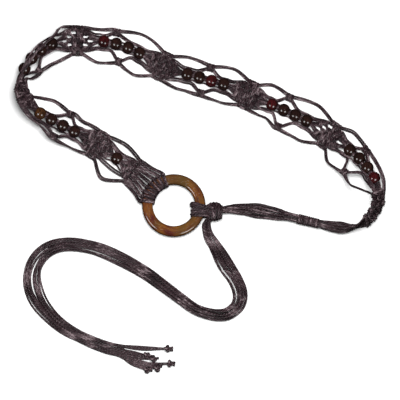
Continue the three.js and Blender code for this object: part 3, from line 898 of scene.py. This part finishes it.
def stretch_uv(mesh, runs):
    """Turns the share along each tube in its UV map into metres, and numbers the tubes in V."""
    layer = mesh.uv_layers[0].data
    sides = len(mesh.vertices) // sum(len(points) for _, points in runs)
    corner = 0
    for number, (along, points) in enumerate(runs):
        length = path_length(points)
        for _ in range(4 * sides * (len(points) - 1)):
            layer[corner].uv.x = along + layer[corner].uv.x * length
            layer[corner].uv.y += number
            corner += 1


def close_ends(mesh):
    shape = bmesh.new()
    shape.from_mesh(mesh)
    edges = [edge for edge in shape.edges if edge.is_boundary]
    bmesh.ops.holes_fill(shape, edges=edges, sides=0)
    shape.to_mesh(mesh)
    shape.free()


def put(name, data):
    """Puts a mesh, a light or a camera in the scene."""
    thing = bpy.data.objects.new(name, data)
    bpy.context.scene.collection.objects.link(thing)
    return thing


def add_piece(mesh, material, node):
    """Puts a finished mesh in the scene as a piece that stands for a node."""
    piece = put(mesh.name, mesh)
    mesh.materials.append(material)
    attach(piece, "root")
    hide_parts(node)
    return piece


def add_cords(name, node, runs, diameter=CORD):
    return add_piece(cord_mesh(name, runs, diameter), waxed_cord(), node)


def arithmetic(operation, swapped=False):
    """A method of Field that adds a Math node."""
    def method(self, *others):
        values = (*others, self) if swapped else (self, *others)
        return self.shader.add("ShaderNodeMath", {"operation": operation}, *values)
    return method


class Field:
    """A shader socket whose arithmetic adds Math nodes."""
    __add__ = arithmetic("ADD")
    __radd__ = arithmetic("ADD", swapped=True)
    __sub__ = arithmetic("SUBTRACT")
    __rsub__ = arithmetic("SUBTRACT", swapped=True)
    __mul__ = arithmetic("MULTIPLY")
    __rmul__ = arithmetic("MULTIPLY", swapped=True)
    __truediv__ = arithmetic("DIVIDE")
    __rtruediv__ = arithmetic("DIVIDE", swapped=True)
    __pow__ = arithmetic("POWER")
    __abs__ = arithmetic("ABSOLUTE")
    sine = arithmetic("SINE")
    floor = arithmetic("FLOOR")

    def __init__(self, shader, socket):
        self.shader = shader
        self.socket = socket


class Shader:
    """Builds one material."""

    def __init__(self, name, **constants):
        self.material = bpy.data.materials.new(name)
        self.material.use_nodes = True
        self.tree = self.material.node_tree
        self.surface = self.tree.nodes["Principled BSDF"]
        for socket, value in constants.items():
            self.surface.inputs[socket.replace("_", " ")].default_value = value

    def add(self, kind, settings, *values, output=0, **named):
        """Adds a node, sets it up and links or sets its sockets."""
        node = self.tree.nodes.new(kind)
        for name, value in settings.items():
            setattr(node, name, value)
        for index, value in [*enumerate(values), *named.items()]:
            self.feed(node.inputs[index], value)
        return Field(self, node.outputs[output])

    def feed(self, socket, value):
        if isinstance(value, Field):
            self.tree.links.new(value.socket, socket)
        elif socket.type == "RGBA":
            socket.default_value = (*value, 1)
        else:
            socket.default_value = value

    def uses(self, name, value):
        self.feed(self.surface.inputs[name], value)

    def object_place(self, scale=(1, 1, 1), location=(0, 0, 0)):
        place = self.add("ShaderNodeTexCoord", {}, output="Object")
        return self.add("ShaderNodeMapping", {}, Vector=place, Location=location, Scale=scale)

    def axes(self, place, names):
        return [self.add("ShaderNodeSeparateXYZ", {}, place, output=name) for name in names]

    def combined(self, x, y, z):
        return self.add("ShaderNodeCombineXYZ", {}, x, y, z)

    def noise(self, place, scale, detail=2):
        return self.add(
            "ShaderNodeTexNoise", {}, Vector=place, Scale=scale, Detail=detail, output="Fac",
        )

    def blend(self, factor, low, high):
        """A colour between two others."""
        node = self.tree.nodes.new("ShaderNodeMix")
        node.data_type = "RGBA"
        self.feed(node.inputs["Factor"], factor)
        colours = [socket for socket in node.inputs if socket.type == "RGBA"]
        self.feed(colours[0], low)
        self.feed(colours[1], high)
        result = next(socket for socket in node.outputs if socket.type == "RGBA")
        return Field(self, result)

    def bump(self, height, distance, strength=1):
        normal = self.add(
            "ShaderNodeBump", {}, Height=height, Distance=distance, Strength=strength,
            output="Normal",
        )
        self.uses("Normal", normal)


@lru_cache(maxsize=1)
def waxed_cord():
    """Dark waxed cord of three plies, twisted, with painted shade in its ply grooves and painted sheen
    streaks on its ridges.
    """
    look = bpy.context.scene.belt_cord
    shader = Shader("waxed_cord", Specular_IOR_Level=0.6)
    along, around = shader.axes(shader.add("ShaderNodeUVMap", {"uv_map": "UVMap"}), "XY")
    ply = abs((math.pi * PLIES * (along / look.ply_pitch + around)).sine())
    number = around.floor()
    tone = shader.noise(shader.combined(along * 55, number * 3.7, 0), 1, detail=1)
    # Streaks of painted sheen along the cord
    wax_sheen = shader.noise(shader.combined(along * 300, around * 4, number * 1.3), 1, detail=2)
    fibres = shader.noise(shader.object_place(), 1400, detail=2)
    # Painted shade in the ply grooves, mixed with random light and dark stretches along each cord
    colour = shader.blend(ply ** 2.5 + (tone - 0.5) * 2.8, look.painted_groove_shade, look.ridge)
    # Painted sheen: the light streaks on the ridges
    colour = shader.blend((wax_sheen + tone - 1.06) * 6 * ply, colour, look.painted_sheen)
    shader.uses("Base Color", colour)
    shader.uses("Roughness", look.roughness + (fibres - 0.5) * 0.3)
    shader.bump(ply + fibres * 0.25, look.ply_depth)
    return shader.material


@lru_cache(maxsize=None)
def bead_wood(name):
    """Polished bead wood with fine dark grain."""
    look = bpy.context.scene.belt_bead
    grain_colour = {"dark_wood": look.warm, "red_wood": look.red, "amber_wood": look.amber}[name]
    shader = Shader(name, Coat_Weight=0.4, Coat_Roughness=0.08)
    warp = shader.noise(shader.object_place(), 180, detail=2)
    grain = shader.noise(shader.object_place(scale=(1, 0.22, 1)), 1500 + 40 * warp, detail=4)
    patches = shader.noise(shader.object_place(), 90, detail=1)
    colour = shader.blend((grain - 0.35) * 2.2, look.dark, grain_colour)
    colour = shader.blend((patches - 0.45) * 3, colour, look.dark)
    shader.uses("Base Color", colour)
    shader.uses("Roughness", look.roughness + grain * 0.1)
    shader.bump(grain, 0.00002, strength=0.3)
    return shader.material


@lru_cache(maxsize=1)
def ring_wood():
    """Lacquered wood whose amber, red-brown and olive bands follow the ring."""
    look = bpy.context.scene.belt_ring
    shader = Shader("ring_wood", Coat_Weight=0.5, Coat_Roughness=0.1)
    home = shader.object_place(location=-RING_MIDDLE)
    x, y, z = shader.axes(home, "XYZ")
    radius = (x * x + y * y) ** 0.5
    bent = shader.combined(x / radius, y / radius, radius * 160 + z * 90)
    bands = shader.noise(bent, 1.6, detail=3)
    fine = shader.noise(bent, 7, detail=4)
    clouds = shader.noise(home, 45, detail=2)
    colour = shader.blend((bands - 0.4) * 4 + (fine - 0.5) * 0.8, look.brown, look.amber)
    colour = shader.blend((clouds - 0.46) * 4, colour, look.olive)
    shader.uses("Base Color", colour)
    shader.uses("Roughness", look.roughness + (fine - 0.5) * 0.1)
    shader.bump(fine, 0.00002, strength=0.4)
    return shader.material


def spun(shape, steps):
    """Spins a closed outline round Z and merges its seam."""
    bmesh.ops.spin(
        shape, geom=shape.edges[:], cent=(0, 0, 0), axis=(0, 0, 1), angle=math.tau, steps=steps,
        use_merge=True,
    )
    bmesh.ops.remove_doubles(shape, verts=shape.verts[:], dist=1e-7)
    bmesh.ops.recalc_face_normals(shape, faces=shape.faces[:])
    for face in shape.faces:
        face.smooth = True


def round_corners(shape, corners, radius, segments):
    bmesh.ops.bevel(
        shape, geom=corners, offset=radius, segments=segments, profile=0.5, affect="VERTICES",
        material=-1,
    )


def to_mesh(shape, name):
    mesh = bpy.data.meshes.new(name)
    shape.to_mesh(mesh)
    shape.free()
    return mesh


class BELT_OT_stage(Operator):
    """Lay the floor, light it and set the camera at the photographed angle"""
    bl_idname = "belt.stage"
    bl_label = "Stage"

    def execute(self, context):
        look = context.scene.belt_stage
        self.lay_floor(look)
        self.light(context, look)
        self.set_camera(context, look)
        return {"FINISHED"}

    def lay_floor(self, look):
        shape = bmesh.new()
        bmesh.ops.create_grid(shape, x_segments=1, y_segments=1, size=3)
        floor = put("floor", to_mesh(shape, "floor"))
        shader = Shader("floor", Base_Color=(*look.floor, 1), Roughness=0.9)
        floor.data.materials.append(shader.material)
        floor.visible_glossy = False
        floor.visible_diffuse = False

    def light(self, context, look):
        world = bpy.data.worlds.new("studio")
        world.use_nodes = True
        background = world.node_tree.nodes["Background"]
        background.inputs["Color"].default_value = (1, 1, 1, 1)
        background.inputs["Strength"].default_value = look.sky
        context.scene.world = world
        world.cycles_visibility.glossy = False
        context.scene.view_settings.view_transform = "Standard"
        for name, direction, power in (
            *(("soft_box", place, look.key) for place in SOFT_BOXES),
            ("overhead", OVERHEAD, look.overhead),
        ):
            lamp = bpy.data.lights.new(name, "AREA")
            lamp.size = look.lamp
            lamp.energy = power
            box = put(name, lamp)
            box.location = RING_MIDDLE + Vector(direction)
            box.rotation_euler = Vector(direction).to_track_quat("Z", "Y").to_euler()
            box.visible_camera = False
            box.visible_glossy = name == "soft_box"
            box.visible_diffuse = name == "overhead"

    def set_camera(self, context, look):
        camera = put("camera", bpy.data.cameras.new("camera"))
        camera.data.lens = look.lens
        camera.data.sensor_width = SENSOR_WIDTH
        distance = look.view_width * look.lens / SENSOR_WIDTH
        target = RING_MIDDLE + Vector((*look.view_middle, 0))
        away = Vector((0, -math.cos(look.elevation), math.sin(look.elevation)))
        camera.location = target + away * distance
        camera.rotation_euler = (math.pi / 2 - look.elevation, 0, 0)
        camera.data.clip_end = 10
        context.scene.camera = camera


class BELT_OT_ring(Operator):
    """Turn the wooden ring"""
    bl_idname = "belt.ring"
    bl_label = "Ring"

    def execute(self, context):
        look = context.scene.belt_ring
        shape = bmesh.new()
        bmesh.ops.create_grid(shape, x_segments=1, y_segments=1, size=0.5)
        bmesh.ops.scale(shape, vec=(RING_OUTER - RING_INNER, RING_THICKNESS, 1), verts=shape.verts[:])
        round_corners(shape, shape.verts[:], look.rounding, 7)
        bmesh.ops.delete(shape, geom=shape.faces[:], context="FACES_ONLY")
        upright = Matrix.Translation((RING_RADIUS, 0, 0)) @ Matrix.Rotation(math.pi / 2, 4, "X")
        bmesh.ops.transform(shape, matrix=upright, verts=shape.verts[:])
        spun(shape, RING_SIDES)
        bmesh.ops.translate(shape, vec=RING_MIDDLE + UP * RING_HEIGHT, verts=shape.verts[:])
        add_piece(to_mesh(shape, "wooden_ring"), ring_wood(), "ring")
        return {"FINISHED"}


class BELT_OT_beads(Operator):
    """Turn the beads and set them on the belt"""
    bl_idname = "belt.beads"
    bl_label = "Beads"

    def execute(self, context):
        look = context.scene.belt_bead
        slots = {row["node"]: row["material_slot"] for row in frame["record"]["subparts"]}
        for number, stretch in enumerate(belt().stretches):
            for place, along in enumerate(stretch.beads, 1):
                node = f"bead_{number}_{place}"
                self.add_bead(look, node, along, slots[node])
        return {"FINISHED"}

    def add_bead(self, look, node, along, slot):
        shape = bmesh.new()
        bmesh.ops.create_circle(shape, segments=BEAD_OUTLINE, radius=BEAD / 2)
        inside = [vert for vert in shape.verts if vert.co.x < look.bore / 2]
        bmesh.ops.delete(shape, geom=inside, context="VERTS")
        ends = sorted(shape.verts, key=lambda vert: vert.co.y)
        for end in (ends[0], ends[-1]):
            end.co.x = look.bore / 2
        shape.edges.new((ends[0], ends[-1]))
        round_corners(shape, [ends[0], ends[-1]], look.rim, 2)
        bmesh.ops.rotate(shape, matrix=Matrix.Rotation(math.pi / 2, 3, "X"), verts=shape.verts[:])
        spun(shape, BEAD_SIDES)
        origin, tangent, side, up = belt().measure(along)
        basis = Matrix((side, up, tangent)).transposed()
        if basis.determinant() < 0:
            basis = Matrix((up, side, tangent)).transposed()
        bmesh.ops.transform(
            shape, matrix=Matrix.Translation(origin) @ basis.to_4x4(), verts=shape.verts[:],
        )
        add_piece(to_mesh(shape, "wooden_" + node), bead_wood(slot), node)


class BELT_OT_knot_blocks(Operator):
    """Tie the blocks of square knots, with the cords that run on through the beads"""
    bl_idname = "belt.knot_blocks"
    bl_label = "Knot Blocks"

    def execute(self, context):
        for number in range(len(belt().blocks)):
            node = f"knot_block_{number}"
            add_cords("tied_" + node, node, belt_runs()[node])
        return {"FINISHED"}


class BELT_OT_side_cords(Operator):
    """Lay the cords beside the beads and tie their side knots"""
    bl_idname = "belt.side_cords"
    bl_label = "Side Cords"

    def execute(self, context):
        for number in range(len(belt().stretches)):
            for node in (f"outer_cords_{number}", f"inner_cords_{number}"):
                add_cords("tied_" + node, node, belt_runs()[node])
        return {"FINISHED"}


class BELT_OT_hitch(Operator):
    """Fold the cords over the ring in a row of lark's heads"""
    bl_idname = "belt.hitch"
    bl_label = "Ring Hitch"

    def execute(self, context):
        add_cords("tied_ring_hitch", "ring_hitch", belt_runs()["ring_hitch"])
        return {"FINISHED"}


class BELT_OT_strap(Operator):
    """Gather the cords into the strap and wind its wrap"""
    bl_idname = "belt.strap"
    bl_label = "Gathered Strap"

    def execute(self, context):
        add_cords("gathered_cords", "gathered_strap", belt_runs()["gathered_strap"])
        add_cords("wound_wrap", "strap_wrap", [self.winding()])
        return {"FINISHED"}

    def winding(self):
        """The whipping cord's helix round the strap."""
        length = (WRAP_TO - WRAP_FROM) * strap().length
        turns = length / WRAP_PITCH
        steps = int(turns * WRAP_POINTS)
        points = []
        for step in range(steps + 1):
            share = mix(WRAP_FROM, WRAP_TO, step / steps)
            angle = math.tau * turns * step / steps
            points.append(strap().place(share, math.cos(angle), math.sin(angle), CORD * 0.1))
        return 0, points


class BELT_OT_ring_knot(Operator):
    """Tie the wound knot and loop it round the ring"""
    bl_idname = "belt.ring_knot"
    bl_label = "Ring Knot"

    def execute(self, context):
        add_cords("tied_ring_knot", "ring_knot", self.barrel() + self.loops())
        return {"FINISHED"}

    def barrel(self):
        """Slanted double turns of cord round the strap's end."""
        axis = flat_direction(STRAP_HEADING)
        side = UP.cross(axis)
        middle = barrel_middle() + UP * BARREL_HEIGHT / 2
        steps = int(BARREL_TURNS * BARREL_POINTS)
        runs = []
        for half, sink in ((-0.5, 0), (0.5, 0.25)):
            points = []
            for step in range(steps + 1):
                share = mix(BARREL_FROM, BARREL_TO, step / steps)
                angle = math.tau * BARREL_TURNS * step / steps
                forward = share * BARREL_LENGTH / 2 + half * CORD
                leaning = forward + BARREL_SLANT * BARREL_WIDTH / 2 * math.cos(angle)
                size = math.sqrt(max(1 - 0.5 * (leaning / (BARREL_LENGTH / 2) - 0.2) ** 2, 0.2))
                across = (BARREL_WIDTH / 2 - CORD * (0.5 + sink)) * size * math.cos(angle)
                height = (BARREL_HEIGHT / 2 - CORD * (0.5 + sink)) * size * math.sin(angle)
                forward += BARREL_SLANT * across
                points.append(middle + axis * forward + side * across + UP * height)
            runs.append((0, points))
        return runs

    def loops(self):
        """Turns of cord that leave the barrel, pass over the ring and come back below it."""
        found = []
        for inner, outer, layer in LOOP_STRANDS:
            strand = Strand()
            raised = layer * CORD
            for radial, height, share in LOOP_WAY:
                strand.add("ring_knot", self.beside_ring(
                    RING_RADIUS + radial * (WIDE + raised), mix(inner, outer, share) * CORD,
                    height * (TALL + (raised if height > 0 else 0)),
                ))
            for _, along, points in strand.runs(LOOP_POINT_STEP):
                found.append((along, points))
        return found

    def beside_ring(self, radius, across, height):
        outwards = flat_direction(KNOT_ANGLE)
        side = UP.cross(outwards)
        return RING_MIDDLE + outwards * radius + side * across + UP * (RING_HEIGHT + height)


def tail_lattice():
    """Places of the tail's cords in its section: share across, layer."""
    places = []
    for layer, count in enumerate((6, 6, 4)):
        for number in range(count):
            across = 2 * (number + 0.5) / count - 1
            places.append((across * (1 - 0.07 * layer), layer))
    return sorted(places, key=lambda place: -place[0])


class Tail:
    """The loose tail's curve and its section at each share of its length."""

    def __init__(self):
        strand = Strand()
        for x, y in TAIL_ROUTE:
            strand.add("tail", RING_MIDDLE + Vector((x, y, 0)))
        (_, _, points), = strand.runs(TAIL_POINT_STEP)
        self.curve = path_track(points)
        self.width = Track(TAIL_SECTIONS, 1, TAIL_WIDTH, eased=True)
        self.height = Track(TAIL_SECTIONS, 2, TAIL_THICKNESS, eased=True)

    def place(self, share, across, layer):
        side = level_side(self.curve, share)
        height = CORD / 2 + layer * (self.height(share) - CORD) / 2.2 + CLEARANCE
        reach = (self.width(share) - CORD) / 2
        return self.curve(share) + side * across * reach + UP * height


@lru_cache(maxsize=1)
def tail():
    return Tail()


class BELT_OT_tail(Operator):
    """Lay out the tail's sixteen loose cords and knot their ends"""
    bl_idname = "belt.tail"
    bl_label = "Loose Tail"

    def execute(self, context):
        knots = [self.end_knot(number) for number in range(len(END_KNOTS))]
        groups = [number for number, row in enumerate(END_KNOTS) for _ in range(row[2])]
        for cord, group in enumerate(groups):
            self.add_cord(cord, group, knots[group])
        return {"FINISHED"}

    def add_cord(self, cord, group, knot):
        across, layer = tail_lattice()[cord]
        rng = random.Random(500 + cord)
        phase = rng.uniform(0, math.tau)
        waves = rng.uniform(1.4, 3.2)
        reach = rng.uniform(0.08, 0.3)
        strand = Strand()
        inside = barrel_middle() + UP * BARREL_HEIGHT * 0.4
        strand.add("tail", inside.lerp(tail().place(0, across, layer), 0.35))
        for step in range(TAIL_STEPS):
            share = step / TAIL_STEPS
            wander = reach * math.sin(phase + math.tau * waves * share)
            lift = 0.3 * math.sin(phase * 2 + math.tau * waves * share)
            strand.add("tail", tail().place(share, across + wander, max(layer + lift, 0)))
        (x, y), (bend_x, bend_y), _ = END_KNOTS[group]
        spread = (cord % 3 - 1) * CORD * 0.8
        strand.add("tail", RING_MIDDLE + Vector((bend_x, bend_y + spread, CORD / 2 + CLEARANCE)))
        strand.add("tail", RING_MIDDLE + Vector((x - 0.001, y, 0.0024)))
        (_, _, points), = strand.runs(TAIL_CORD_STEP)
        piece = add_cords(f"tail_cord_{cord + 1:02d}", "tail_bundle", [(0, points)])
        points[0]
        path_length(points)

    def end_knot(self, number):
        """A small overhand knot with its cut tip."""
        (x, y), _, count = END_KNOTS[number]
        rng = random.Random(900 + number)
        middle = RING_MIDDLE + Vector((x, y, END_KNOT_REST))
        turn = Matrix.Rotation(rng.uniform(-0.7, 0.7), 3, "Z") @ Matrix.Rotation(0.5, 3, "Y")
        points = []
        for step in range(END_KNOT_STEPS + 1):
            angle = math.tau * step / END_KNOT_STEPS
            point = Vector((
                math.sin(angle) + 2 * math.sin(2 * angle),
                math.cos(angle) - 2 * math.cos(2 * angle),
                -math.sin(3 * angle) * 1.3,
            ))
            points.append(middle + turn @ point * END_KNOT_SCALE)
        runs = [(0, points)]
        for tip in range(count - 1):
            heading = rng.uniform(-35, 35)
            reach = flat_direction(heading) * rng.uniform(0.0045, 0.006)
            end = middle + reach - UP * 0.0012
            runs.append((0, [middle, middle.lerp(end, 0.5) + UP * 0.0003, end]))
        node = f"end_knot_{number + 1}"
        return add_cords("tied_" + node, node, runs, END_CORD)


class BELT_PT_panel(Panel):
    """Lists the steps that make the belt"""
    bl_idname = "BELT_PT_panel"
    bl_label = "Knotted Waist Belt"
    bl_space_type = "VIEW_3D"
    bl_region_type = "UI"
    bl_category = "Belt"

    def draw(self, context):
        for operator in OPERATORS:
            self.layout.operator(operator.bl_idname)
        for name in SETTINGS:
            settings = getattr(context.scene, name)
            box = self.layout.box()
            for prop in settings.bl_rna.properties:
                if prop.identifier not in {"rna_type", "name"}:
                    box.prop(settings, prop.identifier)


SETTINGS = {
    "belt_cord": BELT_PG_cord,
    "belt_bead": BELT_PG_bead,
    "belt_ring": BELT_PG_ring,
    "belt_stage": BELT_PG_stage,
}
OPERATORS = (
    BELT_OT_stage, BELT_OT_tail, BELT_OT_ring, BELT_OT_hitch, BELT_OT_knot_blocks,
    BELT_OT_side_cords, BELT_OT_beads, BELT_OT_strap, BELT_OT_ring_knot,
)


def register():
    for kind in (*SETTINGS.values(), *OPERATORS, BELT_PT_panel):
        bpy.utils.register_class(kind)
    for name, kind in SETTINGS.items():
        setattr(bpy.types.Scene, name, PointerProperty(type=kind))


def unregister():
    for name in SETTINGS:
        delattr(bpy.types.Scene, name)
    for kind in reversed((*SETTINGS.values(), *OPERATORS, BELT_PT_panel)):
        bpy.utils.unregister_class(kind)


def main():
    register()
    for operator in OPERATORS:
        family, name = operator.bl_idname.split(".")
        getattr(getattr(bpy.ops, family), name)()


if __name__ == "__main__":
    main()
